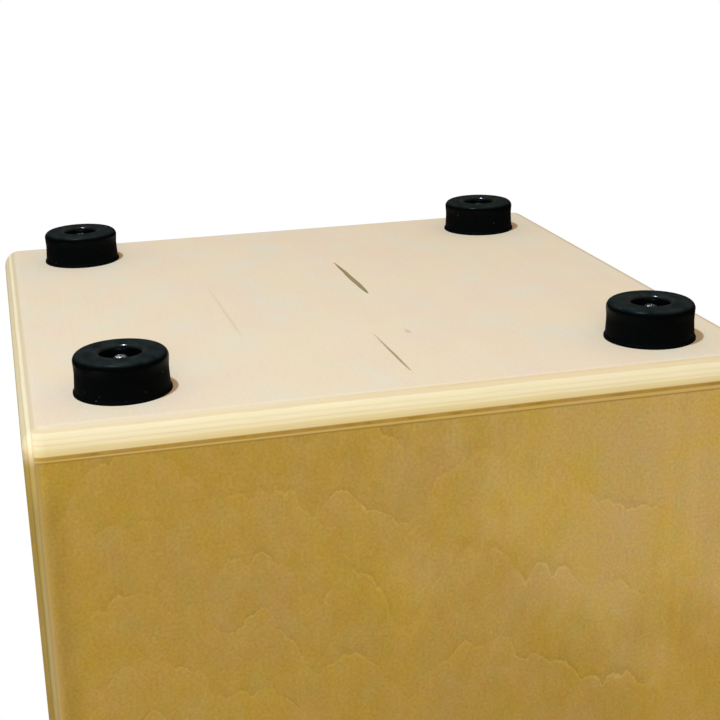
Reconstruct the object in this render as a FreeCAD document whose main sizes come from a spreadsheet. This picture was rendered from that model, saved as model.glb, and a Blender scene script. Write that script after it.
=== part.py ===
import FreeCAD
import Part

import os

import Sketcher

# A cajon: a plywood box drum that stands on four rubber feet.
#
# Frame: millimetres, +Z up, origin on the ground under the middle of the box. The tapa, the face
# that is played, looks towards -Y, and the sound hole is in the back, towards +Y. Left is -X.
# The seat and the bottom lie over the ends of the side panels. The thin tapa and back cover the
# front and back edges of all four, and one router radius runs round every outer edge.

DIMENSIONS = {
    "width": 300,  # side to side, along X
    "depth": 300,  # tapa to back, along Y
    "overall_height": 480,  # ground to seat
    "edge_radius": 8,
    "panel_thickness": 12,
    "tapa_thickness": 3,
    "back_thickness": 4,
    "sound_hole_radius": 60,
    "sound_hole_height": 300,
    "sound_hole_ease": 1.2,  # radius that takes the sharpness off its rims
    "batten_size": 18,
    "block_leg": 20,
    "foot_height": 15.8,
    "foot_inset_side": 39,  # foot's centre to the side's outer face
    "foot_inset_face": 40,  # foot's centre to the tapa's or the back's outer face
    "foot_ground_radius": 18.7,
    "foot_waist_radius": 18.1,
    "foot_waist_depth": 7,  # ground to the narrowest place
    "foot_waist_curve": 25,
    "foot_base_radius": 18.5,
    "foot_flare_height": 0.9,  # from the base out to the lip
    "foot_flare_curve": 1.5,
    "foot_lip_radius": 19.1,
    "foot_lip_height": 0.8,
    "foot_shoulder_radius": 2.8,
    "foot_rim_radius": 1.8,
    "foot_recess_radius": 8,
    "foot_recess_depth": 4.7,
    "washer_radius": 7,
    "washer_thickness": 1.2,
    "washer_depth": 6,  # ground to the washer that is moulded into the rubber
    "fit_gap": 0.05,  # between a fastener and the hole round it
    "screw_tip": 3,
    "round_cross_length": 3.8,
    "round_cross_width": 0.9,
    "round_cross_depth": 1.4,
    "flat_cross_length": 3.2,
    "flat_cross_width": 0.7,
    "flat_cross_depth": 1,
    "foot_screw_radius": 2,
    "foot_screw_length": 20,
    "foot_screw_head_radius": 3.2,
    "foot_screw_head_height": 3,
    "tapa_screw_radius": 1.5,
    "tapa_screw_length": 16,
    "tapa_screw_head_radius": 3,
    "tapa_screw_head_height": 1.7,
    "tapa_screw_inset": 19,  # screw's axis to the box's outer face
    "snare_bar_depth": 18,
    "snare_bar_height": 20,
    "snare_bar_bottom": 330,
    "cleat_height": 40,
    "bar_screw_length": 40,
    "snare_plate_length": 58,
    "snare_plate_thickness": 1,
    "snare_plate_rise": 14,
    "snare_plate_offset": 64,  # middle of each plate to the middle of the box
    "snare_wire_radius": 0.75,
    "snare_wire_length": 92,
    "snare_wire_spacing": 5.5,
    "snare_tapa_gap": 0.4,
    "snare_screw_spacing": 40,
    "snare_screw_length": 12,
}

TAPA_SCREWS_PER_SIDE = 6
TAPA_SCREWS_BETWEEN = 3
SNARE_WIRES_PER_SET = 10
CROWN_SHARE = 0.9  # of a round head's height, the radius round its top
TOUCH = 1e-4  # two places closer than this are the same place


class Size:
    """A length in millimetres that also knows the spreadsheet expression that gives it."""

    def __init__(self, value, text):
        self.value = value
        self.text = text

    def __add__(self, other):
        other = as_size(other)
        return Size(self.value + other.value, f"({self.text} + {other.text})")

    def __sub__(self, other):
        other = as_size(other)
        return Size(self.value - other.value, f"({self.text} - {other.text})")

    def __mul__(self, number):
        return Size(self.value * number, f"({self.text} * {number})")

    def __truediv__(self, number):
        return Size(self.value / number, f"({self.text} / {number})")

    def __neg__(self):
        return Size(-self.value, f"(0 - {self.text})")


def as_size(number_or_size):
    if isinstance(number_or_size, Size):
        return number_or_size
    return Size(float(number_or_size), repr(float(number_or_size)))


def make_sheet(document):
    """Writes the driving dimensions into a spreadsheet and returns them as sizes."""
    sheet = document.addObject("Spreadsheet::Sheet", "Dimensions")
    sizes = {}
    for row, (name, value) in enumerate(DIMENSIONS.items(), start=1):
        sheet.set(f"A{row}", name)
        sheet.set(f"B{row}", str(value))
        sheet.setAlias(f"B{row}", name)
        sizes[name] = Size(float(value), f"Dimensions.{name}")
    document.recompute()
    return sizes


doc = FreeCAD.newDocument("Cajon")
D = make_sheet(doc)
nodes = []

ZERO = as_size(0)
UP = FreeCAD.Vector(0, 0, 1)
DOWN = FreeCAD.Vector(0, 0, -1)
BACKWARD = FreeCAD.Vector(0, 1, 0)
SIDES = {"left": -1, "right": 1}
ENDS = {"front": -1, "back": 1}

half_width = D["width"] / 2
half_depth = D["depth"] / 2
box_bottom = D["foot_height"]
box_top = D["overall_height"]
tapa_back = -half_depth + D["tapa_thickness"]
back_front = half_depth - D["back_thickness"]
side_inner = half_width - D["panel_thickness"]
bottom_inner = box_bottom + D["panel_thickness"]
seat_inner = box_top - D["panel_thickness"]
batten_back = tapa_back + D["batten_size"]


# ---- building blocks


def place(thing, x, y, z, local_up=UP):
    """Puts an object's own origin at a point, with its own +Z turned to local_up."""
    thing.Placement = FreeCAD.Placement(
        FreeCAD.Vector(x.value, y.value, z.value), FreeCAD.Rotation(UP, local_up)
    )
    for axis, size in zip("xyz", (x, y, z)):
        thing.setExpression(f".Placement.Base.{axis}", size.text)
    return thing


def box(name, low, high):
    """A block between two corners, each three sizes."""
    thing = doc.addObject("Part::Box", name)
    for side, start, end in zip(("Length", "Width", "Height"), low, high):
        thing.setExpression(side, (end - start).text)
    return place(thing, *low)


def cylinder(name, radius, length, start, direction=UP):
    thing = doc.addObject("Part::Cylinder", name)
    thing.setExpression("Radius", radius.text)
    thing.setExpression("Height", length.text)
    return place(thing, *start, direction)


def common(name, base, tool):
    thing = doc.addObject("Part::Common", name)
    thing.Base = base
    thing.Tool = tool
    return thing


def cut(name, base, tool):
    thing = doc.addObject("Part::Cut", name)
    thing.Base = base
    thing.Tool = tool
    return thing


def copies(name, original, places, direction=UP):
    """A group of separate copies of one solid, its own origin at each place."""
    group = doc.addObject("Part::Compound", name)
    links = []
    for number, point in enumerate(places, start=1):
        link = doc.addObject("App::Link", f"{name}_{number}")
        link.LinkedObject = original
        links.append(place(link, *point, direction))
    group.Links = links
    return group


def node(label, thing):
    """Marks an object as a finished sub-part, whose label names its file."""
    thing.Label = label
    nodes.append(thing)
    return thing


def origin_plane(body, role):
    return next(o for o in body.Origin.OriginFeatures if o.Role == role)


def draw_polygon(body, name, role, corners):
    """A closed sketch on one of the body's own planes, with every corner bound to the sheet."""
    sketch = body.newObject("Sketcher::SketchObject", name)
    sketch.AttachmentSupport = (origin_plane(body, role), [""])
    sketch.MapMode = "FlatFace"
    points = [FreeCAD.Vector(x.value, y.value, 0) for x, y in corners]
    for start, end in zip(points, points[1:] + points[:1]):
        sketch.addGeometry(Part.LineSegment(start, end), False)
    count = len(points)
    for line in range(count):
        sketch.addConstraint(Sketcher.Constraint("Coincident", line, 2, (line + 1) % count, 1))
    for line, corner in enumerate(corners):
        for kind, size in zip(("DistanceX", "DistanceY"), corner):
            index = sketch.addConstraint(Sketcher.Constraint(kind, -1, 1, line, 1, size.value))
            sketch.setExpression(f"Constraints[{index}]", size.text)
    return sketch


def turned_body(name, profile):
    """A body turned about its own Z axis from (radius, height) corners."""
    body = doc.addObject("PartDesign::Body", name)
    sketch = draw_polygon(body, f"{name}_profile", "XZ_Plane", profile)
    turning = body.newObject("PartDesign::Revolution", f"{name}_turning")
    turning.Profile = (sketch, [""])
    turning.ReferenceAxis = (sketch, ["V_Axis"])
    turning.Angle = 360
    doc.recompute()
    return body


def round_edges(shape, radius):
    """The numbers of a shape's circular edges of this radius, counted from 1."""
    found = []
    for number, edge in enumerate(shape.Edges, start=1):
        if edge.Degenerated or not isinstance(edge.Curve, Part.Circle):
            continue
        if abs(edge.Curve.Radius - radius) < TOUCH:
            found.append(number)
    return found


def round_ring(body, name, ring, fillet_radius):
    """Rounds the circular edge at ring, a (radius, height) corner of the profile."""
    base = body.Tip
    radius, height = ring
    edges = [
        f"Edge{number}"
        for number in round_edges(base.Shape, radius.value)
        if abs(base.Shape.Edges[number - 1].Curve.Center.z - height.value) < TOUCH
    ]
    if not edges:
        raise ValueError(f"{name}: no edge to round")
    fillet = body.newObject("PartDesign::Fillet", name)
    fillet.Base = (base, edges)
    fillet.setExpression("Radius", fillet_radius.text)
    doc.recompute()


def cut_cross(body, name, kind, height):
    """Cuts a cross recess into a screw's head, from the plane at height towards +Z."""
    length = D[f"{kind}_cross_length"]
    width = D[f"{kind}_cross_width"]
    depth = D[f"{kind}_cross_depth"]
    a = length / 2
    b = width / 2
    corners = [(a, -b), (a, b), (b, b), (b, a), (-b, a), (-b, b)]
    corners += [(-x, -y) for x, y in corners]
    before = body.Shape.Volume
    sketch = draw_polygon(body, f"{name}_sketch", "XY_Plane", corners)
    sketch.setExpression(".AttachmentOffset.Base.z", height.text)
    pocket = body.newObject("PartDesign::Pocket", name)
    pocket.Profile = (sketch, [""])
    pocket.setExpression("Length", depth.text)
    pocket.Reversed = True
    doc.recompute()
    if before - body.Shape.Volume < length.value * width.value * depth.value:
        raise ValueError(f"{name}: the cross recess cut too little")


def round_head_screw(name, radius, length, head_radius, head_height):
    """A round-head wood screw. Its origin is under the head, and its tip points to +Z."""
    top = -head_height
    profile = [
        (ZERO, top),
        (head_radius, top),
        (head_radius, ZERO),
        (radius, ZERO),
        (radius, length - D["screw_tip"]),
        (ZERO, length),
    ]
    body = turned_body(name, profile)
    round_ring(body, f"{name}_crown", (head_radius, top), head_height * CROWN_SHARE)
    cut_cross(body, f"{name}_cross", "round", top)
    return body


def countersunk_profile(radius, length, head_radius, head_height, gap):
    """The (radius, height) corners of a countersunk screw, or of its hole where gap isn't zero."""
    return [
        (ZERO, ZERO),
        (head_radius + gap, ZERO),
        (radius + gap, head_height + gap),
        (radius + gap, length - D["screw_tip"] + gap),
        (ZERO, length + gap),
    ]


def countersunk_screw(name, length):
    """A countersunk wood screw. Its origin is in the middle of the head's flat."""
    sizes = (D["tapa_screw_radius"], length)
    sizes += (D["tapa_screw_head_radius"], D["tapa_screw_head_height"])
    body = turned_body(name, countersunk_profile(*sizes, ZERO))
    cut_cross(body, f"{name}_cross", "flat", ZERO)
    hole = turned_body(f"{name}_hole", countersunk_profile(*sizes, D["fit_gap"]))
    return body, hole


# ---- the plywood shell


def make_outer_block():
    """The whole box as one block with every outer edge rounded. Each panel is a slice of it."""
    low = (-half_width, -half_depth, box_bottom)
    high = (half_width, half_depth, box_top)
    block = box("OuterBlock", low, high)
    doc.recompute()
    rounded = doc.addObject("Part::Fillet", "RoundedBlock")
    rounded.Base = block
    radius = D["edge_radius"].value
    rounded.Edges = [(edge, radius, radius) for edge in range(1, len(block.Shape.Edges) + 1)]
    return rounded


def make_slice(name, outer_block, low, high):
    return common(name, outer_block, box(f"{name}Slab", low, high))


def foot_places(height):
    x = half_width - D["foot_inset_side"]
    y = half_depth - D["foot_inset_face"]
    return [(x * side, y * end, height) for end in ENDS.values() for side in SIDES.values()]


def make_bottom_and_seat(outer_block):
    low = (-half_width, tapa_back, box_bottom)
    high = (half_width, back_front, bottom_inner)
    blank = make_slice("Bottom", outer_block, low, high)
    pilot = cylinder(
        "FootPilot", D["foot_screw_radius"] + D["fit_gap"], D["foot_screw_length"], (ZERO,) * 3
    )
    pilots = copies("FootPilots", pilot, foot_places(D["foot_recess_depth"]))
    node("bottom_panel", cut("BottomDrilled", blank, pilots))

    low = (-half_width, tapa_back, seat_inner)
    high = (half_width, back_front, box_top)
    node("seat_panel", make_slice("Seat", outer_block, low, high))


def make_side_panels(outer_block):
    for name, side in SIDES.items():
        near, far = sorted((side_inner * side, half_width * side), key=lambda x: x.value)
        low = (near, tapa_back, bottom_inner)
        high = (far, back_front, seat_inner)
        node(f"{name}_side_panel", make_slice(f"{name.title()}Side", outer_block, low, high))


def make_back_panel(outer_block):
    low = (-half_width, back_front, box_bottom)
    high = (half_width, half_depth, box_top)
    blank = make_slice("Back", outer_block, low, high)
    start = (ZERO, back_front - D["back_thickness"], D["sound_hole_height"])
    length = D["back_thickness"] * 3
    hole = cylinder("SoundHole", D["sound_hole_radius"], length, start, BACKWARD)
    drilled = cut("BackDrilled", blank, hole)
    doc.recompute()
    radius = D["sound_hole_ease"].value
    rims = round_edges(drilled.Shape, D["sound_hole_radius"].value)
    eased = doc.addObject("Part::Fillet", "BackEased")
    eased.Base = drilled
    eased.Edges = [(edge, radius, radius) for edge in rims]
    node("back_panel", eased)


# ---- the tapa, its battens and its screws


def tapa_screw_places():
    """Six screws down each side of the tapa, and three more between them at top and bottom."""
    x = half_width - D["tapa_screw_inset"]
    low = box_bottom + D["tapa_screw_inset"]
    high = box_top - D["tapa_screw_inset"]
    step = (high - low) / (TAPA_SCREWS_PER_SIDE - 1)
    places = []
    for side in SIDES.values():
        for number in range(TAPA_SCREWS_PER_SIDE):
            places.append((x * side, -half_depth, low + step * number))
    step = x * 2 / (TAPA_SCREWS_BETWEEN + 1)
    for number in range(1, TAPA_SCREWS_BETWEEN + 1):
        for height in (low, high):
            places.append((-x + step * number, -half_depth, height))
    return places


def make_tapa(outer_block):
    screw, hole = countersunk_screw("TapaScrew", D["tapa_screw_length"])
    places = tapa_screw_places()
    holes = copies("TapaHoles", hole, places, BACKWARD)
    node("tapa_screws", copies("TapaScrews", screw, places, BACKWARD))

    low = (-half_width, -half_depth, box_bottom)
    high = (half_width, tapa_back, box_top)
    blank = make_slice("Tapa", outer_block, low, high)
    node("tapa", cut("TapaDrilled", blank, holes))

    inner_low = bottom_inner + D["batten_size"]
    inner_high = seat_inner - D["batten_size"]
    batten_inner = side_inner - D["batten_size"]
    battens = {
        "front_left_batten": ((-side_inner, inner_low), (-batten_inner, inner_high)),
        "front_right_batten": ((batten_inner, inner_low), (side_inner, inner_high)),
        "front_top_batten": ((-side_inner, inner_high), (side_inner, seat_inner)),
        "front_bottom_batten": ((-side_inner, bottom_inner), (side_inner, inner_low)),
    }
    for label, ((left, bottom), (right, top)) in battens.items():
        name = label.title().replace("_", "")
        blank = box(f"{name}Blank", (left, tapa_back, bottom), (right, batten_back, top))
        node(label, cut(name, blank, holes))


# ---- the glue blocks


def make_glue_blocks():
    """Triangular blocks along the inner corners where the sides meet the seat and the bottom."""
    leg = D["block_leg"]
    for level, height, inward in (("seat", seat_inner, -1), ("bottom", bottom_inner, 1)):
        for name, side in SIDES.items():
            corner = (side_inner * side, height)
            along_panel = ((side_inner - leg) * side, height)
            along_side = (side_inner * side, height + leg * inward)
            label = f"{level}_{name}_block"
            body = doc.addObject("PartDesign::Body", label.title().replace("_", ""))
            corners = [corner, along_panel, along_side]
            sketch = draw_polygon(body, f"{body.Name}Sketch", "XZ_Plane", corners)
            pad = body.newObject("PartDesign::Pad", f"{body.Name}Pad")
            pad.Profile = (sketch, [""])
            pad.setExpression("Length", (back_front - batten_back).text)
            place(body, ZERO, back_front, ZERO)
            node(label, body)


# ---- the feet


def foot_profile():
    """The (radius, height) corners of a foot, from the screw hole out and back again."""
    hole = D["foot_screw_radius"] + D["fit_gap"]
    groove = D["washer_radius"] + D["fit_gap"]
    groove_low = D["washer_depth"] - D["fit_gap"]
    groove_high = D["washer_depth"] + D["washer_thickness"] + D["fit_gap"]
    lip = D["foot_height"] - D["foot_lip_height"]
    return [
        (hole, D["foot_recess_depth"]),
        (D["foot_recess_radius"], D["foot_recess_depth"]),
        (D["foot_recess_radius"], ZERO),
        (D["foot_ground_radius"], ZERO),
        (D["foot_waist_radius"], D["foot_waist_depth"]),
        (D["foot_base_radius"], lip - D["foot_flare_height"]),
        (D["foot_lip_radius"], lip),
        (D["foot_lip_radius"], D["foot_height"]),
        (hole, D["foot_height"]),
        (hole, groove_high),
        (groove, groove_high),
        (groove, groove_low),
        (hole, groove_low),
    ]


def make_feet():
    lip = D["foot_height"] - D["foot_lip_height"]
    names = [f"{end}_{side}_foot" for end in ENDS for side in SIDES]
    for label, point in zip(names, foot_places(ZERO)):
        name = label.title().replace("_", "")
        foot = turned_body(name, foot_profile())
        shoulder = (D["foot_ground_radius"], ZERO)
        round_ring(foot, f"{name}Shoulder", shoulder, D["foot_shoulder_radius"])
        rim = (D["foot_recess_radius"], ZERO)
        round_ring(foot, f"{name}Rim", rim, D["foot_rim_radius"])
        waist = (D["foot_waist_radius"], D["foot_waist_depth"])
        round_ring(foot, f"{name}Waist", waist, D["foot_waist_curve"])
        base = (D["foot_base_radius"], lip - D["foot_flare_height"])
        round_ring(foot, f"{name}Base", base, D["foot_flare_curve"])
        edge = (D["foot_lip_radius"], lip)
        round_ring(foot, f"{name}LipEdge", edge, D["foot_lip_height"] / 3)
        place(foot, *point)
        node(label, foot)


def make_foot_hardware():
    screw = round_head_screw(
        "FootScrew",
        D["foot_screw_radius"],
        D["foot_screw_length"],
        D["foot_screw_head_radius"],
        D["foot_screw_head_height"],
    )
    node("foot_screws", copies("FootScrews", screw, foot_places(D["foot_recess_depth"])))

    disc = cylinder("WasherDisc", D["washer_radius"], D["washer_thickness"], (ZERO,) * 3)
    hole_radius = D["foot_screw_radius"] + D["fit_gap"]
    hole = cylinder("WasherHole", hole_radius, D["washer_thickness"], (ZERO,) * 3)
    washer = cut("Washer", disc, hole)
    node("foot_washers", copies("FootWashers", washer, foot_places(D["washer_depth"])))


# ---- the snares


bar_top = D["snare_bar_bottom"] + D["snare_bar_height"]
bar_front = batten_back
bar_back = bar_front + D["snare_bar_depth"]
bar_middle = (bar_front + bar_back) / 2


def snare_screw_places():
    places = []
    for side in SIDES.values():
        for offset in (-1, 1):
            x = D["snare_plate_offset"] * side + D["snare_screw_spacing"] * (offset / 2)
            places.append((x, bar_middle, bar_top + D["snare_plate_thickness"]))
    return places


def make_snare_bar():
    """The bar that carries the snares, on two cleats, with a screw down into each cleat."""
    screw, hole = countersunk_screw("BarScrew", D["bar_screw_length"])
    cleat_middle = side_inner - D["batten_size"] / 2
    places = [(cleat_middle * side, bar_middle, bar_top) for side in SIDES.values()]
    bar_holes = copies("BarHoles", hole, places, DOWN)
    node("bar_screws", copies("BarScrews", screw, places, DOWN))

    radius = D["tapa_screw_radius"] + D["fit_gap"]
    pilot = cylinder("SnarePilot", radius, D["snare_screw_length"] + D["fit_gap"], (ZERO,) * 3)
    pilots = copies("SnarePilots", pilot, snare_screw_places(), DOWN)

    low = (-side_inner, bar_front, D["snare_bar_bottom"])
    blank = box("SnareBarBlank", low, (side_inner, bar_back, bar_top))
    drilled = cut("SnareBarDrilled", blank, bar_holes)
    node("snare_bar", cut("SnareBar", drilled, pilots))

    for name, side in SIDES.items():
        near, far = sorted(
            (side_inner * side, (side_inner - D["batten_size"]) * side), key=lambda x: x.value
        )
        low = (near, bar_front, D["snare_bar_bottom"] - D["cleat_height"])
        high = (far, bar_back, D["snare_bar_bottom"])
        blank = box(f"{name.title()}CleatBlank", low, high)
        node(f"{name}_bar_cleat", cut(f"{name.title()}Cleat", blank, bar_holes))
    return pilots


def make_snares(pilots):
    """Two angled plates on the bar, each with a row of wires that rise behind the tapa."""
    wire_front = tapa_back + D["snare_tapa_gap"]
    wire_axis = wire_front + D["snare_wire_radius"]
    plate_front = wire_axis + D["snare_wire_radius"]
    half_length = D["snare_plate_length"] / 2
    plate_top = bar_top + D["snare_plate_thickness"]
    for name, side in SIDES.items():
        title = name.title()
        middle = D["snare_plate_offset"] * side
        low = (middle - half_length, plate_front, bar_top)
        foot = box(f"{title}PlateFoot", low, (middle + half_length, bar_back, plate_top))
        plate_back = plate_front + D["snare_plate_thickness"]
        high = (middle + half_length, plate_back, bar_top + D["snare_plate_rise"])
        lip = box(f"{title}PlateLip", low, high)
        angle = doc.addObject("Part::Fuse", f"{title}PlateAngle")
        angle.Base = foot
        angle.Tool = lip
        node(f"{name}_snare_plate", cut(f"{title}Plate", angle, pilots))

        first = middle - D["snare_wire_spacing"] * ((SNARE_WIRES_PER_SET - 1) / 2)
        start_height = plate_top + D["snare_plate_thickness"]
        wires = doc.addObject("Part::Compound", f"{title}Wires")
        wires.Links = [
            cylinder(
                f"{title}Wire{number}",
                D["snare_wire_radius"],
                D["snare_wire_length"],
                (first + D["snare_wire_spacing"] * number, wire_axis, start_height),
            )
            for number in range(SNARE_WIRES_PER_SET)
        ]
        node(f"{name}_snare_wires", wires)


def make_snare_screws():
    screw = round_head_screw(
        "SnareScrew",
        D["tapa_screw_radius"],
        D["snare_screw_length"],
        D["tapa_screw_head_radius"],
        D["tapa_screw_head_height"],
    )
    node("snare_screws", copies("SnareScrews", screw, snare_screw_places(), DOWN))


# ---- checks and files


def check_document():
    for thing in doc.Objects:
        if {"Invalid", "Error"} & set(thing.State):
            raise ValueError(f"{thing.Label} failed: {thing.State}")
    for thing in nodes:
        if thing.Shape.isNull() or not thing.Shape.isValid() or not thing.Shape.Solids:
            raise ValueError(f"{thing.Label} has no valid solid")


def write_parts():
    os.makedirs("parts", exist_ok=True)
    for thing in nodes:
        thing.Shape.exportStep(f"parts/{thing.Label}.step")
        count = len(thing.Shape.Solids)
        print(f"{thing.Label}: {count} solid(s), {thing.Shape.Volume / 1000:.2f} cm3")


outer = make_outer_block()
make_bottom_and_seat(outer)
make_side_panels(outer)
make_back_panel(outer)
make_tapa(outer)
make_glue_blocks()
make_feet()
make_foot_hardware()
make_snares(make_snare_bar())
make_snare_screws()
doc.recompute()
check_document()
write_parts()
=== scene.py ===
"""Looks of a cajon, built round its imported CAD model. Metres, +Z up, tapa towards -Y.

The main camera looks from under the ground at the bottom of the box, turned over, so the
picture shows the box standing on its seat.
"""

import math
from collections import namedtuple

import bpy
from mathutils import Matrix, Vector


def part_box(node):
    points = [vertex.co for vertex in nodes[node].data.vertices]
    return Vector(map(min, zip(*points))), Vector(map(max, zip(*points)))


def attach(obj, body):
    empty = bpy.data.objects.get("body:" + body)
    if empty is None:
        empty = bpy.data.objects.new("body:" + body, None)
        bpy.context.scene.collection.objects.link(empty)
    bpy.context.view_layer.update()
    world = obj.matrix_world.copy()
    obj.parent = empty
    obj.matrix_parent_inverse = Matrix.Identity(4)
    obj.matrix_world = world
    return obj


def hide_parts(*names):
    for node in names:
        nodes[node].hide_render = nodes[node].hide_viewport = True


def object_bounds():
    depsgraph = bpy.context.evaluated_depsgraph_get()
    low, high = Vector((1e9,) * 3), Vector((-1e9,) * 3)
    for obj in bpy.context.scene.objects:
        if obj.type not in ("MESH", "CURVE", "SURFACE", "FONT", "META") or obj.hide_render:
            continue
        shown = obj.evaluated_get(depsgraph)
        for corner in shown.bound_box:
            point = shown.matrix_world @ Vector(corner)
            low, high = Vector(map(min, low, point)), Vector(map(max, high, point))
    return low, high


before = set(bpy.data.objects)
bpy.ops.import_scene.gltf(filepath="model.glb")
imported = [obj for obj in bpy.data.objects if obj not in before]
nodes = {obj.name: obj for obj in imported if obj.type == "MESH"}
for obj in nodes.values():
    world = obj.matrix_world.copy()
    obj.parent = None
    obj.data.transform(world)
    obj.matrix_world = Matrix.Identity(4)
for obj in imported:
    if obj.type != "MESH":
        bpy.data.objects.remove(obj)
cad_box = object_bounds()
MM = 1000.0  # millimetres in a metre: materials work in millimetres

Box = namedtuple("Box", "low high")


def box_mm(node):
    """A node's lowest and highest corners, in millimetres."""
    low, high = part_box(node)
    return Box(low * MM, high * MM)


WHOLE = Box(cad_box[0] * MM, cad_box[1] * MM)
BOTTOM = box_mm("bottom_panel")
SEAT = box_mm("seat_panel")
BACK = box_mm("back_panel")
TAPA = box_mm("tapa")
SIDE = box_mm("right_side_panel")
FOOT = box_mm("front_right_foot")
FOOT_MIDDLE = Vector(abs(value) for value in (FOOT.low + FOOT.high) / 2)
EDGE_RADIUS = 8.0  # of the rounding along the outer edges of the wood, in millimetres


# ---- shader graphs


def srgb(red, green, blue):
    """A colour as it shows on a screen, 0 to 255, as the linear colour that shaders use."""
    linear = []
    for channel in (red, green, blue):
        share = channel / 255
        linear.append(share / 12.92 if share <= 0.04045 else ((share + 0.055) / 1.055) ** 2.4)
    return (*linear, 1.0)


class Graph:
    """A material's node tree, with one short method for each kind of step."""

    def __init__(self, name):
        self.material = bpy.data.materials.new(name)
        self.material.use_nodes = True
        self.tree = self.material.node_tree
        self.shader = self.tree.nodes["Principled BSDF"]

    def put(self, socket, value):
        """Links the value to the socket if it is another node's output, and else sets it."""
        if isinstance(value, bpy.types.NodeSocket):
            self.tree.links.new(value, socket)
        else:
            socket.default_value = value

    def math(self, operation, first, second=0.0, third=0.0):
        step = self.tree.nodes.new("ShaderNodeMath")
        step.operation = operation
        for socket, value in zip(step.inputs, (first, second, third)):
            self.put(socket, value)
        return step.outputs[0]

    def add(self, *values):
        total = values[0]
        for value in values[1:]:
            total = self.math("ADD", total, value)
        return total

    def times(self, *values):
        total = values[0]
        for value in values[1:]:
            total = self.math("MULTIPLY", total, value)
        return total

    def less(self, first, second):
        return self.math("SUBTRACT", first, second)

    def share(self, first, second):
        return self.math("DIVIDE", first, second)

    def squared(self, value):
        return self.math("MULTIPLY", value, value)

    def size_of(self, value):
        return self.math("ABSOLUTE", value)

    def larger(self, first, second):
        return self.math("MAXIMUM", first, second)

    def smaller(self, first, second):
        return self.math("MINIMUM", first, second)

    def vector(self, x, y, z):
        step = self.tree.nodes.new("ShaderNodeCombineXYZ")
        for socket, value in zip(step.inputs, (x, y, z)):
            self.put(socket, value)
        return step.outputs[0]

    def position(self):
        """x, y and z of each point in the part's own frame, in millimetres."""
        source = self.tree.nodes.new("ShaderNodeTexCoord")
        scale = self.tree.nodes.new("ShaderNodeVectorMath")
        scale.operation = "SCALE"
        scale.inputs["Scale"].default_value = MM
        self.put(scale.inputs[0], source.outputs["Object"])
        split = self.tree.nodes.new("ShaderNodeSeparateXYZ")
        self.put(split.inputs[0], scale.outputs[0])
        return tuple(split.outputs)

    def noise(self, first, second, third=0.0, detail=2.0, roughness=0.5):
        """Smooth noise, about 0.5 on average. Each of the first three is (value, size), or a
        number that picks another noise."""
        step = self.tree.nodes.new("ShaderNodeTexNoise")
        step.inputs["Scale"].default_value = 1.0
        step.inputs["Detail"].default_value = detail
        step.inputs["Roughness"].default_value = roughness
        self.put(step.inputs["Vector"], self.vector(*self.sized(first, second, third)))
        return step.outputs["Fac"]

    def cells(self, first, second, third=0.0):
        """Distance to the nearest of many scattered points, about a unit apart."""
        step = self.tree.nodes.new("ShaderNodeTexVoronoi")
        step.inputs["Scale"].default_value = 1.0
        self.put(step.inputs["Vector"], self.vector(*self.sized(first, second, third)))
        return step.outputs["Distance"]

    def sized(self, *pairs):
        """Each (value, size) divided out, and each plain number as it is."""
        return [self.share(*pair) if isinstance(pair, tuple) else pair for pair in pairs]

    def swing(self, noise, amount):
        """Noise turned into a change about zero, of this size."""
        return self.times(self.less(noise, 0.5), 2 * amount)

    def from_middle(self, first, second):
        """Distance from the middle of an ellipse, 1 at its rim. Each is (value, middle, reach)."""
        squares = []
        for value, middle, reach in (first, second):
            squares.append(self.squared(self.share(self.less(value, middle), reach)))
        return self.math("SQRT", self.add(*squares))

    def rise(self, value, start, end):
        """0 up to start, 1 from end on, and smooth between them. start may be above end."""
        step = self.tree.nodes.new("ShaderNodeMapRange")
        step.interpolation_type = "SMOOTHSTEP"
        self.put(step.inputs["Value"], value)
        self.put(step.inputs["From Min"], start)
        self.put(step.inputs["From Max"], end)
        return step.outputs["Result"]

    def fall(self, value, start, end):
        """1 up to start, 0 from end on, and smooth between them."""
        return self.less(1.0, self.rise(value, start, end))

    def band(self, value, start, end, soft):
        """1 between start and end, with an edge this soft within each, and 0 outside them."""
        return self.times(self.rise(value, start, start + soft), self.fall(value, end - soft, end))

    def layers(self, depth, stack, soft):
        """The colour at this depth in a stack of (thickness, colour), outermost first."""
        total = sum(thickness for thickness, colour in stack)
        step = self.tree.nodes.new("ShaderNodeValToRGB")
        elements = step.color_ramp.elements
        stops = []
        start = 0.0
        for thickness, colour in stack:
            stops.append((start + soft, colour))
            stops.append((start + thickness - soft, colour))
            start += thickness
        while len(elements) < len(stops):
            elements.new(1.0)
        for element, (place, colour) in zip(elements, stops):
            element.position = place / total
            element.color = colour
        self.put(step.inputs[0], self.share(depth, total))
        return step.outputs["Color"]

    def mix(self, share, first, second, blend="MIX"):
        """From the first colour to the second. The node's sockets 6 and 7 in, and 2 out, are
        the ones for colours."""
        step = self.tree.nodes.new("ShaderNodeMix")
        step.data_type = "RGBA"
        step.blend_type = blend
        self.put(step.inputs["Factor"], share)
        self.put(step.inputs[6], first)
        self.put(step.inputs[7], second)
        return step.outputs[2]

    def tone(self, colour, change):
        """The colour made lighter or darker: change is about zero."""
        step = self.tree.nodes.new("ShaderNodeVectorMath")
        step.operation = "SCALE"
        self.put(step.inputs[0], colour[:3] if isinstance(colour, tuple) else colour)
        self.put(step.inputs["Scale"], self.add(change, 1.0))
        return step.outputs[0]

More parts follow.
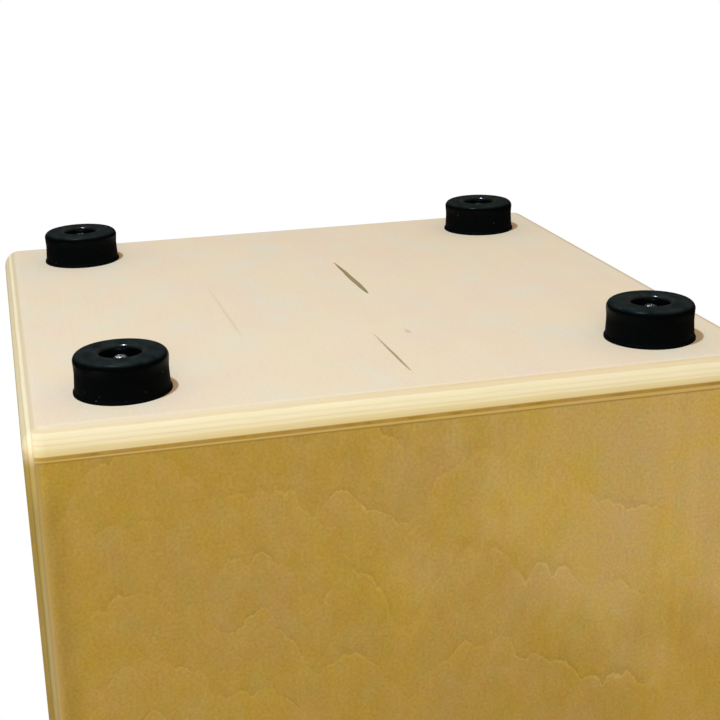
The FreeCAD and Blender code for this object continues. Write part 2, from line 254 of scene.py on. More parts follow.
    def finish(self, colour, roughness, height, bump_mm, specular=0.5):
        """Feeds the shader. A height of 1 stands bump_mm above a height of 0."""
        self.put(self.shader.inputs["Base Color"], colour)
        self.put(self.shader.inputs["Roughness"], roughness)
        self.shader.inputs["Specular IOR Level"].default_value = specular
        bump = self.tree.nodes.new("ShaderNodeBump")
        bump.inputs["Strength"].default_value = 1.0
        bump.inputs["Distance"].default_value = bump_mm / MM
        self.put(bump.inputs["Height"], height)
        self.put(self.shader.inputs["Normal"], bump.outputs[0])
        return self.material


# ---- birch plywood

BIRCH = srgb(229, 213, 187)
BIRCH_PINK = srgb(229, 210, 188)
BIRCH_GREY = srgb(225, 214, 193)
BIRCH_INSIDE = srgb(214, 192, 152)
PALE_END = srgb(217, 205, 178)
STAIN = srgb(196, 166, 120)
KNOT = srgb(214, 142, 96)
# What the lacquer does to the light that the wood returns, on most of the wood and on sapwood, or
# on the painted sheen at a side's front.
AMBER = (0.520, 0.437, 0.120, 1.0)
PALE_AMBER = (0.630, 0.570, 0.246, 1.0)

# The plies of each kind of panel, outermost first: thickness in millimetres, and colour.
LONG_GRAIN = srgb(226, 217, 185)
END_GRAIN = srgb(221, 213, 180)
THICK_PLIES = (
    (0.5, srgb(214, 194, 156)),
    (1.1, srgb(216, 199, 163)),
    (1.5, LONG_GRAIN),
    (0.7, END_GRAIN),
    (1.2, srgb(227, 221, 190)),
    (0.6, END_GRAIN),
    (1.0, srgb(227, 224, 190)),
    (2.5, srgb(221, 214, 171)),
    (1.5, srgb(234, 216, 200)),
    (1.0, srgb(245, 232, 204)),
    (0.4, srgb(222, 200, 160)),
)
BACK_PLIES = (
    (1.7, srgb(222, 213, 180)),
    (0.5, srgb(214, 201, 162)),
    (1.3, srgb(240, 230, 202)),
    (0.5, srgb(224, 210, 178)),
)
TAPA_PLIES = (
    (0.9, srgb(222, 210, 174)),
    (1.1, srgb(208, 188, 142)),
    (1.0, srgb(238, 227, 196)),
)
PLY_SOFT = 0.12  # how far one ply's colour runs into the next
# Where two plies of a thick panel start and end, in millimetres from its face.
DARK_PLY = (9.2, 10.6)
PALE_PLY = (10.5, 11.7)
PLY_SLANT = 0.0035  # how much deeper the plies lie for each millimetre towards the back

# Places on the side and at its corner with the back, in millimetres. Each is where a change
# starts and where it ends: y runs from the tapa to the back, and z up from the ground.
STRAIGHT_GRAIN = (-108, -86)
# where the front of a side is lighter: partly paler wood, partly a painted sheen
PALE_AND_SHEEN_FRONT = (-112, -84)
# Painted shade: a side darkens near its corner with the back, from the next height up; the back
# and the tapa use that height too, for their stronger corner shade.
SHADED_CORNER = (WHOLE.high.y - 17, WHOLE.high.y - 7)
SHADED_HEIGHT = (34, 50)
UPPER_PART = (150, 230)  # the photographed part is below it, and has its pale patches placed

# The middle of each hump of the growth rings across a side, and how many rings it leads by.
SIDE_HUMPS = (
    (112, 1.76),
    (67, 2.42),
    (28, 2.43),
    (-22, 1.94),
    (-50, 2.22),
    (-81, 2.55),
    (-125, 2.1),
)
SIDE_RING_SPACING = 27.5  # from ring to ring up the side, near the back
SIDE_RING_EXTRA = 13.5  # how much more it is near the front
HUMP_WIDTH = 29
ROUND_VALLEY = 0.5  # how softly two humps meet, in rings

# Marks along the grain of the bottom, in millimetres: start and end in x, middle in y, width.
SLIT = (-62.0, 5.0, -15.4, 2.6)
THIN_SLIT = (68.0, 124.0, 0.6, 1.3)
STREAK = (-36.0, 58.0, 55.0, 1.6)
DOT = (67.5, 74.0, -14.4, 1.8)
MARK = srgb(112, 94, 62)
MARK_MIDDLE = srgb(156, 136, 86)
TAN_MARK = srgb(132, 108, 70)


class Birch:
    """One plywood panel. depth runs inwards from its outer face, along is the grain's direction
    on that face, and run is the direction of the edges that show. All are in millimetres."""

    def __init__(self, name, plies, seed):
        self.g = Graph(name)
        self.x, self.y, self.z = self.g.position()
        self.plies = plies
        self.thickness = sum(thickness for thickness, colour in plies)
        self.seed = seed
        self.grain = 0.0  # how high the grain stands: veneer sets it
        self.ring_hue = 0.5  # less where a ring is yellower, more where bluer: ring_tone sets it

    def veneer(self, along, across, blotches=1.0, depth=1.0):
        """Sanded birch: faint blotches of two more tints, streaks and short pores. blotches is
        how large the blotches are, and depth how strong the specks and pores."""
        g, seed = self.g, self.seed
        blotch = g.noise((along, 48 * blotches), (across, 28 * blotches), seed, 3.0)
        cloud = g.noise((along, 32 * blotches), (across, 22 * blotches), seed + 3.7, 2.0)
        colour = g.mix(g.rise(blotch, 0.40, 0.66), BIRCH, BIRCH_PINK)
        colour = g.mix(g.rise(cloud, 0.46, 0.70), colour, BIRCH_GREY)
        streak = g.noise((along, 60), (across, 1.6), seed + 11.0, 3.0, 0.6)
        fleck = g.noise((along, 1.3), (across, 1.3), seed + 17.0, 2.0, 0.6)
        pore = g.rise(g.noise((along, 3.0), (across, 0.25), seed + 23.0, 1.0), 0.64, 0.80)
        change = g.add(g.swing(fleck, 0.08 * depth), g.times(pore, -0.03 * depth))
        change = g.add(change, g.swing(streak, 0.02))
        self.grain = g.add(g.times(streak, 0.5), g.times(pore, -1.0))
        return g.tone(colour, change)

    def sapwood(self, along, across):
        """Where the wood is paler and greyer, 0 to 1: broad patches, and mottles within them."""
        g = self.g
        broad = g.noise((along, 150), (across, 80), self.seed + 43, 3.0, 0.55)
        return g.add(g.times(g.rise(broad, 0.38, 0.74), 0.65), self.mottle(along, across))

    def mottle(self, along, across):
        """Small pale and dark mottles, as a change of sapwood."""
        g = self.g
        small = g.noise((along, 11), (across, 8), self.seed + 47, 3.0, 0.6)
        return g.add(g.swing(small, 0.40), 0.06)

    def scallops(self, along, across):
        """How far small humps push each ring back, in millimetres."""
        g, seed = self.g, self.seed
        middle = g.squared(g.cells((across, 13), (along, 45), seed + 5))
        small = g.squared(g.cells((across, 6.5), (along, 15), seed + 9))
        ragged = g.noise((across, 2.2), (along, 6), seed + 9, 2.0, 0.6)
        sway = g.noise((across, 28), (along, 50), seed + 19, 1.0)
        push = g.add(g.times(middle, 11), g.times(small, 7), g.swing(ragged, 2.0))
        return g.add(push, g.swing(sway, 6))

    def rings(self, along, across, tilt, spacing):
        """How many growth rings a point of the face is past. Rotary-cut veneer meets the rings
        as stacked humps with round tops, which point towards -along."""
        g, seed = self.g, self.seed
        broad = g.squared(g.cells((across, 40), (along, 230), seed))
        drift = g.noise((across, 90), (along, 120), seed + 13, 1.0)
        drop = g.add(g.times(broad, 50), self.scallops(along, across))
        place = g.add(along, g.times(across, tilt), g.swing(drift, 16))
        return g.share(g.less(place, drop), spacing)

    def placed_rings(self, along, across, humps):
        """The same, with the middle and the lead of each hump given, and then how strong the
        rings are, 0 to 1: they fade down the flanks of the humps."""
        g = self.g
        spacing = g.add(g.times(g.rise(across, 80, -22), SIDE_RING_EXTRA), SIDE_RING_SPACING)
        nearest = None
        flank = 1.0
        for middle, lead in humps:
            slope = g.share(g.squared(g.less(across, middle)), g.times(spacing, HUMP_WIDTH))
            flank = g.smaller(flank, slope)
            lag = g.add(slope, lead)
            nearest = lag if nearest is None else g.math("SMOOTH_MIN", nearest, lag, ROUND_VALLEY)
        strength = g.add(g.times(g.fall(flank, 0.1, 0.5), 0.85), 0.15)
        place = g.share(g.less(along, self.scallops(along, across)), spacing)
        return g.less(place, nearest), strength

    def ring_tone(self, count, along, across, strength=1.0):
        """A thin pale line at each ring, plain in places, and darker wood before the next."""
        g = self.g
        past = g.math("FRACT", count)
        number = g.math("FLOOR", count)
        plain = g.noise((along, 26), (across, 20), self.seed + 31, 2.0)
        clear = g.add(g.rise(plain, 0.40, 0.62), 0.25)
        line = g.fall(past, 0.012, 0.045)
        late = g.rise(past, 0.86, 0.99)
        fresh = g.fall(past, 0.0, 0.5)
        each = g.noise(g.times(number, 0.37), self.seed, 0.0, 0.0)
        self.ring_hue = g.noise(g.times(number, 3.7), (across, 26), (along, 60), 2.0)
        strong = g.times(clear, strength, g.add(g.times(line, 0.12), g.times(late, -0.08)))
        return g.add(strong, g.times(fresh, 0.03), g.swing(each, 0.05))

    def edge(self, depth, run, dark_ply):
        """The cut edges of the plies, a little wavy, with fine streaks."""
        g, seed = self.g, self.seed
        slow = g.noise((run, 70), seed, 0.0, 1.0)
        quick = g.noise((run, 7), seed + 2, 0.0, 3.0, 0.6)
        wave = g.add(g.swing(slow, 0.55), g.swing(quick, 0.24))
        within = g.fall(depth, self.thickness - 0.8, self.thickness)
        place = g.add(depth, g.times(wave, within))
        colour = g.layers(place, self.plies, PLY_SOFT)
        if dark_ply is not None:
            colour = self.stained(colour, g.band(place, *dark_ply, 0.35), run)
        streak = g.noise((run, 16), (depth, 0.22), seed + 4, 3.0, 0.6)
        patch = g.noise((run, 24), (depth, 1.5), seed + 6, 2.0)
        return g.tone(colour, g.add(g.swing(streak, 0.05), g.swing(patch, 0.05)))

    def stained(self, colour, within, run):
        """Glue and knots make the darkest ply darker in places."""
        g, seed = self.g, self.seed
        stain = g.rise(g.noise((run, 19), seed + 8, 0.0, 3.0, 0.6), 0.40, 0.66)
        knot = g.rise(g.noise((run, 26), seed + 15, 0.0, 2.0), 0.60, 0.67)
        colour = g.mix(g.times(within, stain, 0.7), colour, STAIN)
        return g.mix(g.times(within, knot, 0.7), colour, KNOT)

    def sanded(self, depth):
        """How bare the edge of a thick panel is: wholly on its rounded part, and a little on the
        pale ply past the darkest one."""
        g = self.g
        pale_ply = g.band(depth, *PALE_PLY, 0.3)
        return g.add(g.fall(depth, EDGE_RADIUS + 0.7, EDGE_RADIUS + 1.3), g.times(pale_ply, 0.17))

    def seam(self, depth, width):
        """1 where the panel's edge meets the piece behind it."""
        return self.g.rise(depth, self.thickness - width, self.thickness - 0.1)

    def lacquered(self, colour, lacquer, pale):
        """The wood under its lacquer, paler on sapwood and on a side's painted sheen, and here
        yellower and there bluer.
        """
        g = self.g
        pale = g.smaller(g.larger(pale, 0.0), 1.0)
        amber = g.mix(pale, AMBER, PALE_AMBER)
        colour = g.mix(lacquer, colour, g.mix(1.0, colour, amber, "MULTIPLY"))
        yellow = g.noise((self.x, 26), (self.y, 26), (self.z, 26), 6.0, 0.76)
        patchy = g.times(g.swing(yellow, 1.0), g.add(g.times(lacquer, 0.70), 0.12))
        by_ring = g.times(g.swing(self.ring_hue, 0.55), lacquer)
        blue = g.add(1.0, g.add(patchy, by_ring))
        return g.mix(1.0, colour, g.vector(1.0, 1.0, blue), "MULTIPLY")

    def build(self, depth, run, face, bare, seam, pale, bare_face=False, dark_ply=None, cut=0.0):
        """Puts the face, the edges and the inside together, under lacquer except where bare, which
        counts on the face only with bare_face. cut makes the cut edges lighter or darker."""
        g = self.g
        edge = g.tone(self.edge(depth, run, dark_ply), cut)
        on_edge = g.rise(depth, 0.03, 0.35)
        if bare_face:
            at_back = g.rise(self.y, WHOLE.high.y - 12, WHOLE.high.y - 9)
            on_edge = g.mix(at_back, on_edge, g.rise(depth, 0.35, 0.6))
            pale_end = g.times(g.rise(self.y, -20, 90), g.fall(depth, 0.4, 1.0))
            edge = g.mix(pale_end, edge, PALE_END)
            lacquer = g.less(1.0, bare)
        else:
            first_ply = self.plies[0][0]
            on_edge = g.times(on_edge, g.add(g.rise(depth, first_ply - 0.2, first_ply), bare))
            on_edge = g.smaller(on_edge, 1.0)
            lacquer = g.larger(g.less(1.0, bare), g.fall(depth, 0.02, 0.3))
        colour = self.lacquered(g.mix(on_edge, face, edge), lacquer, pale)
        colour = g.tone(colour, g.times(seam, -0.22))
        inner = g.rise(depth, self.thickness - 0.04, self.thickness - 0.02)
        cloud = g.noise((self.x, 30), (self.y, 30), (self.z, 30))
        colour = g.mix(inner, colour, g.tone(BIRCH_INSIDE, g.swing(cloud, 0.06)))
        gloss = g.times(lacquer, g.less(1.0, inner))
        rough = g.add(g.times(gloss, -0.20), 0.66, g.swing(self.grain, 0.04))
        return g.finish(colour, rough, self.grain, 0.02, 0.4)


def spindle(g, along, across, mark):
    """How far inside a mark a point is, in millimetres. The mark lies along the grain, thin at
    both ends and widest nearer to its end."""
    start, end, middle, width = mark
    share = g.larger(g.share(g.less(along, start), end - start), 0.0)
    rest = g.larger(g.less(1.0, share), 0.0)
    swell = g.times(g.math("POWER", share, 0.9), g.math("POWER", rest, 0.5), 2.5)
    beyond = g.fall(swell, 0.0, 0.12)
    off = g.add(g.size_of(g.less(across, middle)), beyond)
    return g.less(g.times(swell, width / 2), off)


def marked(g, face, x, y):
    """The bottom's face with two slits in its veneer, a faint long streak and a spot."""
    wander = g.swing(g.noise((x, 9), (y, 30), 4.0), 0.3)
    line = g.add(y, wander, g.times(x, 0.02))
    slit, thin_slit, streak, dot = (
        spindle(g, x, line, mark) for mark in (SLIT, THIN_SLIT, STREAK, DOT)
    )
    slit_colour = g.mix(g.rise(slit, 0.35, 0.8), MARK, MARK_MIDDLE)
    face = g.mix(g.times(g.rise(slit, -0.4, 0.5), 0.95), face, slit_colour)
    face = g.mix(g.times(g.rise(thin_slit, -0.4, 0.7), 0.85), face, TAN_MARK)
    face = g.mix(g.times(g.rise(streak, -0.5, 0.9), 0.16), face, MARK)
    return g.mix(g.times(g.rise(dot, -0.9, 0.9), 0.30), face, MARK)


def bottom_material():
    """Bare wood on the face and on the rounded edge, and lacquer on the flat of the edge."""
    wood = Birch("birch_bottom", THICK_PLIES, 1.0)
    g, x, y, z = wood.g, wood.x, wood.y, wood.z
    face = marked(g, wood.veneer(x, y), x, y)
    depth = g.less(z, BOTTOM.low.z)
    seam = wood.seam(depth, 0.4)
    near_seam = g.rise(depth, wood.thickness - 1.2, wood.thickness - 0.4)
    slant = g.times(y, PLY_SLANT, g.less(1.0, near_seam), g.rise(depth, 5.0, 8.0))
    depth = g.less(depth, slant)
    bare = wood.sanded(depth)
    return wood.build(depth, y, face, bare, seam, 0.06, bare_face=True, dark_ply=DARK_PLY)


def seat_material():
    """Lacquered like the sides, with its rounded edge bare."""
    wood = Birch("birch_seat", THICK_PLIES, 91.0)
    g, x, y, z = wood.g, wood.x, wood.y, wood.z
    face = wood.veneer(x, y, 0.45, 1.8)
    face = g.tone(face, wood.ring_tone(wood.rings(x, y, 0.2, 30.0), x, y))
    depth = g.less(SEAT.high.z, z)
    bare = g.times(g.rise(depth, 0.05, 0.5), wood.sanded(depth))
    seam = wood.seam(depth, 0.4)
    return wood.build(depth, y, face, bare, seam, wood.sapwood(x, y), dark_ply=DARK_PLY)


def bare_ends(g, z):
    """1 where the top and bottom edges are rounded, and so sanded back to bare wood."""
    low_end = g.fall(z, BOTTOM.low.z + EDGE_RADIUS - 2, BOTTOM.low.z + EDGE_RADIUS + 7)
    high_end = g.rise(z, SEAT.high.z - EDGE_RADIUS - 7, SEAT.high.z - EDGE_RADIUS + 2)
    return g.add(low_end, high_end)


def rim_seam(g, value, low, high):
    """1 along both ends of a face that reaches from low to high."""
    at_high = g.rise(value, high - 0.45, high - 0.1)
    at_low = g.fall(value, low + 0.1, low + 0.45)
    return g.larger(at_high, at_low)


def side_pale_and_sheen(wood):
    """Where a side is paler: at its front near the ground, with a faint lead across, both partly
    paler wood and partly a painted sheen, and anywhere in its upper part."""
    g, y, z = wood.g, wood.y, wood.z
    cloud = g.noise((z, 40), (y, 30), wood.seed + 53, 3.0, 0.55)
    far = g.from_middle((y, -95, 100), (z, 60, 95))
    patch = g.fall(g.add(far, g.swing(cloud, 0.8)), 0.15, 1.25)
    lead = g.times(g.rise(y, 110, 20), g.fall(z, 60, 150), 0.15)
    low = g.add(patch, lead, wood.mottle(z, y))
    upper = g.rise(z, *UPPER_PART)
    return g.add(g.times(upper, wood.sapwood(z, y)), g.times(g.less(1.0, upper), low))


def side_material(name, side, seed):
    """Lacquered all over, with its growth rings placed. side is 1 on the right, -1 on the left."""
    wood = Birch(f"birch_{name}_side", THICK_PLIES, seed)
    g, x, y, z = wood.g, wood.x, wood.y, wood.z
    face = wood.veneer(z, y, 0.32, 3.0)
    count, strength = wood.placed_rings(z, y, SIDE_HUMPS)
    faint = g.fall(g.from_middle((y, -55, 75), (z, 35, 32)), 0.6, 1.1)
    rings = g.times(wood.ring_tone(count, z, y, strength), g.less(1.0, g.times(faint, 0.75)))
    straight = g.fall(y, *STRAIGHT_GRAIN)
    stripe = g.noise((z, 140), (y, 5.0), seed + 41, 2.0)
    change = g.add(g.times(rings, g.less(1.0, straight)), g.times(straight, g.swing(stripe, 0.10)))
    # the front is lighter, partly paler wood and partly a painted sheen
    change = g.add(change, g.times(g.fall(y, *PALE_AND_SHEEN_FRONT), 0.08))
    # painted shade near the corner with the back, from a height up
    change = g.add(change, g.times(g.rise(y, *SHADED_CORNER), g.rise(z, *SHADED_HEIGHT), -0.15))
    face = g.tone(face, change)
    depth = g.less(SIDE.high.x, g.times(x, side))
    seam = g.larger(
        rim_seam(g, y, SIDE.low.y, SIDE.high.y),
        rim_seam(g, z, SIDE.low.z, SIDE.high.z),
    )
    return wood.build(depth, z, face, 0.0, seam, side_pale_and_sheen(wood))


def thin_panel_material(name, plies, seed, depth_of):
    """The back or the tapa, with bare ends. Near its upright corners, face and cut edges are
    darkened as painted shade. depth_of gives the depth below its face at a y."""
    wood = Birch(name, plies, seed)
    g, x, y, z = wood.g, wood.x, wood.y, wood.z
    face = wood.veneer(z, x, 0.45, 1.8)
    face = g.tone(face, wood.ring_tone(wood.rings(z, x, 0.1, 31.0), z, x))
    depth = depth_of(g, y)
    bare = bare_ends(g, z)
    seam = g.times(wood.seam(depth, 0.35), g.less(0.9, g.times(bare, 0.7)))
    corner = g.rise(g.size_of(x), WHOLE.high.x - 7.5, WHOLE.high.x - 4)
    # painted shade at the upright corners, on the face and on the cut edges, stronger higher up,
    # and none on the bare ends
    corner_shade = g.times(g.less(1.0, bare), g.add(g.times(g.rise(z, *SHADED_HEIGHT), 0.55), 0.45))
    face = g.tone(face, g.times(corner, corner_shade, -0.27))
    pale = g.times(wood.sapwood(z, x), 0.8)
    return wood.build(depth, g.add(x, z), face, bare, seam, pale, cut=g.times(corner_shade, -0.36))


# ---- pine, rubber and metal

PINE = srgb(226, 198, 148)
PINE_LATE = srgb(196, 152, 92)
PINE_RING = 3.1  # from one stripe of late wood to the next, in millimetres
RUBBER = srgb(3, 6, 7)
# dust together with a painted bluish sheen
DUST_AND_SHEEN = srgb(34, 42, 43)
SPECK = srgb(150, 155, 150)
POLISHED_RIM = (9.5, 11.0)  # how far from a foot's middle its polish fades, in millimetres
SNARE_STEEL = (0.62, 0.62, 0.63, 1)
ZINC = (0.66, 0.64, 0.60, 1)
BLACK_PAINT = (0.02, 0.02, 0.021, 1)


def pine_material(name, along, across, third, seed):
    """Planed pine: even stripes of late wood, which wander a little."""
    g = Graph(name)
    place = dict(zip("xyz", g.position()))
    a, b, c = place[along], place[across], place[third]
    wander = g.swing(g.noise((a, 90), (b, 12), (c, 12)), 5.0)
    stripe = g.math("FRACT", g.share(g.add(b, g.times(c, 0.35), wander, seed), PINE_RING))
    late = g.times(g.rise(stripe, 0.45, 0.92), g.fall(stripe, 0.93, 1.0))
    colour = g.mix(g.times(late, 0.7), PINE, PINE_LATE)
    fibre = g.noise((a, 14), (b, 0.4), (c, 0.4), 2.0)
    colour = g.tone(colour, g.swing(fibre, 0.05))
    return g.finish(colour, 0.62, g.add(fibre, late), 0.03, 0.35)


def rubber_material():
    """Black moulded rubber: dusty where it stands on the ground, and painted lighter and bluer
    there as a sheen, with a few pale specks, and polished round the rim of the screw's recess."""
    g = Graph("foot_rubber")
    x, y, z = g.position()
    grain = g.noise((x, 0.45), (y, 0.45), (z, 0.45), 3.0)
    smear = g.noise((x, 7), (y, 5), (z, 3), 3.0)
    # dust, and a painted bluish sheen, on the face that stands on the ground
    dust_and_sheen = g.times(g.fall(z, 0.1, 1.6), g.rise(smear, 0.0, 0.75))
    colour = g.mix(dust_and_sheen, RUBBER, DUST_AND_SHEEN)
    spots = g.cells((x, 2.6), (y, 2.6), (z, 2.6))
    speck = g.times(g.fall(spots, 0.03, 0.08), g.rise(smear, 0.5, 0.6))
    colour = g.mix(g.times(speck, 0.6), colour, SPECK)
    worn = g.add(0.2, g.times(g.rise(z, 0.5, 8.0), 0.5))
    rough = g.add(worn, g.times(dust_and_sheen, 0.25), g.swing(smear, 0.06))
    out = g.from_middle((g.size_of(x), FOOT_MIDDLE.x, 1.0), (g.size_of(y), FOOT_MIDDLE.y, 1.0))
    polish = g.times(g.fall(out, *POLISHED_RIM), g.fall(z, 2.0, 4.0))
    g.put(g.shader.inputs["Coat Weight"], polish)
    g.shader.inputs["Coat Roughness"].default_value = 0.16
    g.shader.inputs["IOR"].default_value = 1.38
    return g.finish(colour, rough, grain, 0.008, 0.05)


def worn_material(name, colour, roughness, wear_mm, changes, bump_mm, metallic=1.0):
    """Metal, or paint where metallic is 0, with fine marks of wear. wear_mm is how large they
    are, and changes how much they change the colour and then the roughness."""
    g = Graph(name)
    g.shader.inputs["Metallic"].default_value = metallic
    x, y, z = g.position()
    marks = g.noise((x, wear_mm), (y, wear_mm), (z, wear_mm), 3.0)
    in_colour, in_roughness = changes
    shade = g.tone(colour, g.swing(marks, in_colour))
    return g.finish(shade, g.add(roughness, g.swing(marks, in_roughness)), marks, bump_mm)


# ---- what each piece wears


def wear(material, *names):
    for name in names:
        nodes[name].data.materials.clear()
        nodes[name].data.materials.append(material)


def dress_panels():
    wear(bottom_material(), "bottom_panel")
    wear(seat_material(), "seat_panel")
    wear(side_material("right", 1, 7.0), "right_side_panel")
    wear(side_material("left", -1, 37.0), "left_side_panel")
    back = thin_panel_material("birch_back", BACK_PLIES, 61.0, lambda g, y: g.less(BACK.high.y, y))
    wear(back, "back_panel")
    tapa = thin_panel_material("birch_tapa", TAPA_PLIES, 77.0, lambda g, y: g.less(y, TAPA.low.y))
    wear(tapa, "tapa")


def dress_inside():
    upright = pine_material("pine_upright", "z", "x", "y", 0.0)
    level = pine_material("pine_level", "x", "z", "y", 1.3)
    deep = pine_material("pine_deep", "y", "x", "z", 2.1)
    wear(upright, "front_left_batten", "front_right_batten", "left_bar_cleat", "right_bar_cleat")
    wear(level, "front_top_batten", "front_bottom_batten", "snare_bar")
    wear(deep, "seat_left_block", "seat_right_block", "bottom_left_block", "bottom_right_block")
    steel = worn_material("snare_steel", SNARE_STEEL, 0.25, 0.8, (0.4, 0.12), 0.015)
    wear(steel, "left_snare_plate", "right_snare_plate", "left_snare_wires", "right_snare_wires")


def dress_hardware():
    wear(rubber_material(), *(name for name in nodes if name.endswith("_foot")))
    zinc = worn_material("zinc_steel", ZINC, 0.36, 0.8, (0.4, 0.12), 0.5)
    wear(zinc, "foot_screws", "foot_washers", "bar_screws", "snare_screws")
    black = worn_material("black_steel", BLACK_PAINT, 0.38, 0.6, (0.3, 0.1), 0.01, metallic=0.0)
    wear(black, "tapa_screws")


# ---- snare wires, in metres

SNARE_WIRE = 0.00019  # radius of the wound wire
SNARE_PITCH = 0.0013  # from one turn to the next
SNARE_SPACING = 0.0055  # from one spring to the next
STEPS_PER_TURN = 10


def add_coil(curve, x, y, low, high, radius):
    """Adds one upright helix to the curve, about x and y, from low to high."""
    turns = (high - low) / SNARE_PITCH
    steps = round(turns * STEPS_PER_TURN)
    helix = curve.splines.new("POLY")
    helix.points.add(steps)
    for step, point in enumerate(helix.points):
        angle = 2 * math.pi * turns * step / steps
        height = low + (high - low) * step / steps
        point.co = (x + radius * math.cos(angle), y + radius * math.sin(angle), height, 1)


def coil_snares():
    """Each snare wire is a wound spring: one helix along the middle of its plain CAD wire."""
    steel = nodes["left_snare_wires"].data.materials[0]
    for name in ("left_snare_wires", "right_snare_wires"):
        low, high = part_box(name)
        outer = (high.y - low.y) / 2
        last = round((high.x - low.x) / SNARE_SPACING)
        curve = bpy.data.curves.new(f"{name}_coils", "CURVE")
        curve.dimensions = "3D"
        curve.bevel_depth = SNARE_WIRE
        curve.bevel_resolution = 1
        curve.use_fill_caps = True
        curve.materials.append(steel)
        for index in range(last + 1):
            x = low.x + outer + (high.x - low.x - 2 * outer) * index / last
            add_coil(curve, x, (low.y + high.y) / 2, low.z, high.z, outer - SNARE_WIRE)
        coils = bpy.data.objects.new(f"{name}_coils", curve)
        bpy.context.scene.collection.objects.link(coils)
        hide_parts(name)
        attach(coils, "root")


# ---- camera

# Where the camera is, in metres from the nearest corner of the box: to the right, back from
# the box, and up, all as the picture shows them. Then how it is turned, in degrees.
CAMERA_RIGHT, CAMERA_BACK, CAMERA_UP = 0.00204, 0.49396, 0.17842
CAMERA_YAW, CAMERA_PITCH, CAMERA_ROLL = 13.947, 17.777, 1.382
SENSOR_WIDTH, FOCAL_LENGTH = 36.0, 72.05  # millimetres


def make_camera():
    """Looks at the bottom and the right side from beyond the right side, upside down."""
    corner = Vector((WHOLE.high.x, WHOLE.high.y, BOTTOM.low.z)) / MM
    right, inward, up = Vector((0, -1, 0)), Vector((-1, 0, 0)), Vector((0, 0, -1))
    yaw, pitch, roll = (math.radians(angle) for angle in (CAMERA_YAW, CAMERA_PITCH, CAMERA_ROLL))
    place = corner + right * CAMERA_RIGHT - inward * CAMERA_BACK + up * CAMERA_UP
    level = right * math.sin(yaw) + inward * math.cos(yaw)
    forward = level * math.cos(pitch) - up * math.sin(pitch)
    across = forward.cross(up).normalized()
    below = forward.cross(across)
    x_axis = across * math.cos(roll) + below * math.sin(roll)
    y_axis = across * math.sin(roll) - below * math.cos(roll)
    data = bpy.data.cameras.new("Camera")
    data.sensor_width = SENSOR_WIDTH
    data.lens = FOCAL_LENGTH
    data.clip_start = 0.01
    camera = bpy.data.objects.new("Camera", data)
    bpy.context.scene.collection.objects.link(camera)
    turn = Matrix((x_axis, y_axis, -forward)).transposed()
    camera.matrix_world = Matrix.Translation(place) @ turn.to_4x4()
    bpy.context.scene.camera = camera


# ---- lights and floor

# The four lamps and the sky share out the light. Each is the brightness, in red, green and
# blue, that it alone gives a white face turned towards it.
SKY = (0.52, 0.37, 0.23)
SKY_GLOSS = 0.10  # how much of the sky shows in glossy faces
UNDER_KEY = (0.385, 0.51, 0.615)
UNDER_FILL = (0.32, 0.29, 0.24)
UPPER_KEY = (0.64, 0.63, 0.60)
UPPER_FILL = (0.44, 0.44, 0.42)

FLOOR_RADIUS = 2.4  # metres
FLOOR_PALE = (0.82, 0.92, 0.98, 1)
FLOOR_SHADED = (0.30, 0.32, 0.34, 1)
FLOOR_COOL = (0.0, 0.03, 0.13, 1)
# On the floor, in millimetres: how far the shade starts inside the box's outline, how far past
# that it and the cool light change, and where the floor fades out, from the middle.
SHADE_INSET = 12
SHADE_REACH = 60
COOL_REACH = 110
FLOOR_FADE = (500, 2200)


def make_lamp(name, light, direction, distance, size, glossy=True):
    """A round lamp that faces the middle of the box. light is as SKY says."""
    middle = (cad_box[0] + cad_box[1]) / 2
    brightest = max(light)
    data = bpy.data.lights.new(name, "AREA")
    data.shape = "DISK"
    data.size = size
    data.color = [channel / brightest for channel in light]
    data.energy = brightest * (math.pi * distance) ** 2
    lamp = bpy.data.objects.new(name, data)
    lamp.visible_glossy = glossy
    bpy.context.scene.collection.objects.link(lamp)
    away = Vector(direction).normalized()
    lamp.location = middle + away * distance
    lamp.rotation_euler = away.to_track_quat("Z", "Y").to_euler()


def make_lights():
    make_lamp("under_key", UNDER_KEY, (0.14, 0.24, -0.96), 1.8, 0.08)
    make_lamp("under_fill", UNDER_FILL, (0.85, 0.2, -0.45), 1.8, 0.9, glossy=False)
    make_lamp("upper_key", UPPER_KEY, (-0.35, -0.62, 0.8), 1.8, 0.9)
    make_lamp("upper_fill", UPPER_FILL, (0.5, 0.9, 0.5), 1.9, 1.2)


def make_world():
    """White where the camera sees it, a dimmer warm light elsewhere, and nearly dark in gloss."""
    world = bpy.data.worlds.new("World")
    world.use_nodes = True
    tree = world.node_tree
    ambient = tree.nodes["Background"]
    ambient.inputs["Color"].default_value = (*SKY, 1)
    shine = tree.nodes.new("ShaderNodeBackground")
    shine.inputs["Color"].default_value = (*SKY, 1)
    shine.inputs["Strength"].default_value = SKY_GLOSS
    white = tree.nodes.new("ShaderNodeBackground")
    white.inputs["Color"].default_value = (1, 1, 1, 1)
    path = tree.nodes.new("ShaderNodeLightPath")
    glossy = tree.nodes.new("ShaderNodeMixShader")
    tree.links.new(path.outputs["Is Glossy Ray"], glossy.inputs[0])
    tree.links.new(ambient.outputs[0], glossy.inputs[1])
    tree.links.new(shine.outputs[0], glossy.inputs[2])
    seen = tree.nodes.new("ShaderNodeMixShader")
    tree.links.new(path.outputs["Is Camera Ray"], seen.inputs[0])
    tree.links.new(glossy.outputs[0], seen.inputs[1])
    tree.links.new(white.outputs[0], seen.inputs[2])
    tree.links.new(seen.outputs[0], tree.nodes["World Output"].inputs["Surface"])
    bpy.context.scene.world = world


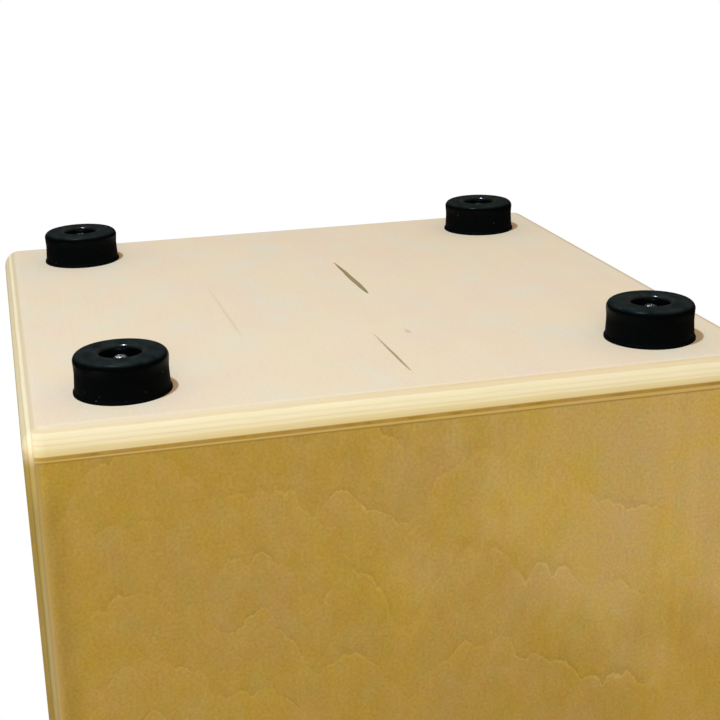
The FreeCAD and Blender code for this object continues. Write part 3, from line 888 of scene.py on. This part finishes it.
def floor_material():
    """Pale, with a painted shadow that greys it under the box, and a faint cool glow away from it.
    Only the camera sees it, and only from above, so it hides nothing from below, and it fades out
    before its rim."""
    g = Graph("floor")
    x, y, z = g.position()
    past_x = g.larger(g.less(g.size_of(x), WHOLE.high.x - SHADE_INSET), 0.0)
    past_y = g.larger(g.less(g.size_of(y), WHOLE.high.y - SHADE_INSET), 0.0)
    past_box = g.from_middle((past_x, 0.0, 1.0), (past_y, 0.0, 1.0))
    paint = g.tree.nodes.new("ShaderNodeBsdfDiffuse")
    g.put(paint.inputs["Color"], g.mix(g.fall(past_box, 0, SHADE_REACH), FLOOR_PALE, FLOOR_SHADED))
    cool = g.tree.nodes.new("ShaderNodeEmission")
    cool.inputs["Color"].default_value = FLOOR_COOL
    g.put(cool.inputs["Strength"], g.rise(past_box, 0, COOL_REACH))
    lit = g.tree.nodes.new("ShaderNodeAddShader")
    g.put(lit.inputs[0], paint.outputs[0])
    g.put(lit.inputs[1], cool.outputs[0])
    clear = g.tree.nodes.new("ShaderNodeBsdfTransparent")
    path = g.tree.nodes.new("ShaderNodeLightPath")
    turned = g.tree.nodes.new("ShaderNodeNewGeometry")
    reach = g.from_middle((x, 0.0, 1.0), (y, 0.0, 1.0))
    from_above = g.less(1.0, turned.outputs["Backfacing"])
    shown = g.times(from_above, path.outputs["Is Camera Ray"], g.fall(reach, *FLOOR_FADE))
    both = g.tree.nodes.new("ShaderNodeMixShader")
    g.put(both.inputs[0], shown)
    g.put(both.inputs[1], clear.outputs[0])
    g.put(both.inputs[2], lit.outputs[0])
    g.put(g.tree.nodes["Material Output"].inputs["Surface"], both.outputs[0])
    return g.material


def make_floor():
    bpy.ops.mesh.primitive_circle_add(vertices=96, radius=FLOOR_RADIUS, fill_type="NGON")
    floor = bpy.context.object
    floor.name = "floor"
    floor.data.materials.append(floor_material())


make_camera()
make_world()
make_lights()
make_floor()
dress_panels()
dress_inside()
coil_snares()
dress_hardware()
bpy.context.scene.view_settings.view_transform = "Standard"
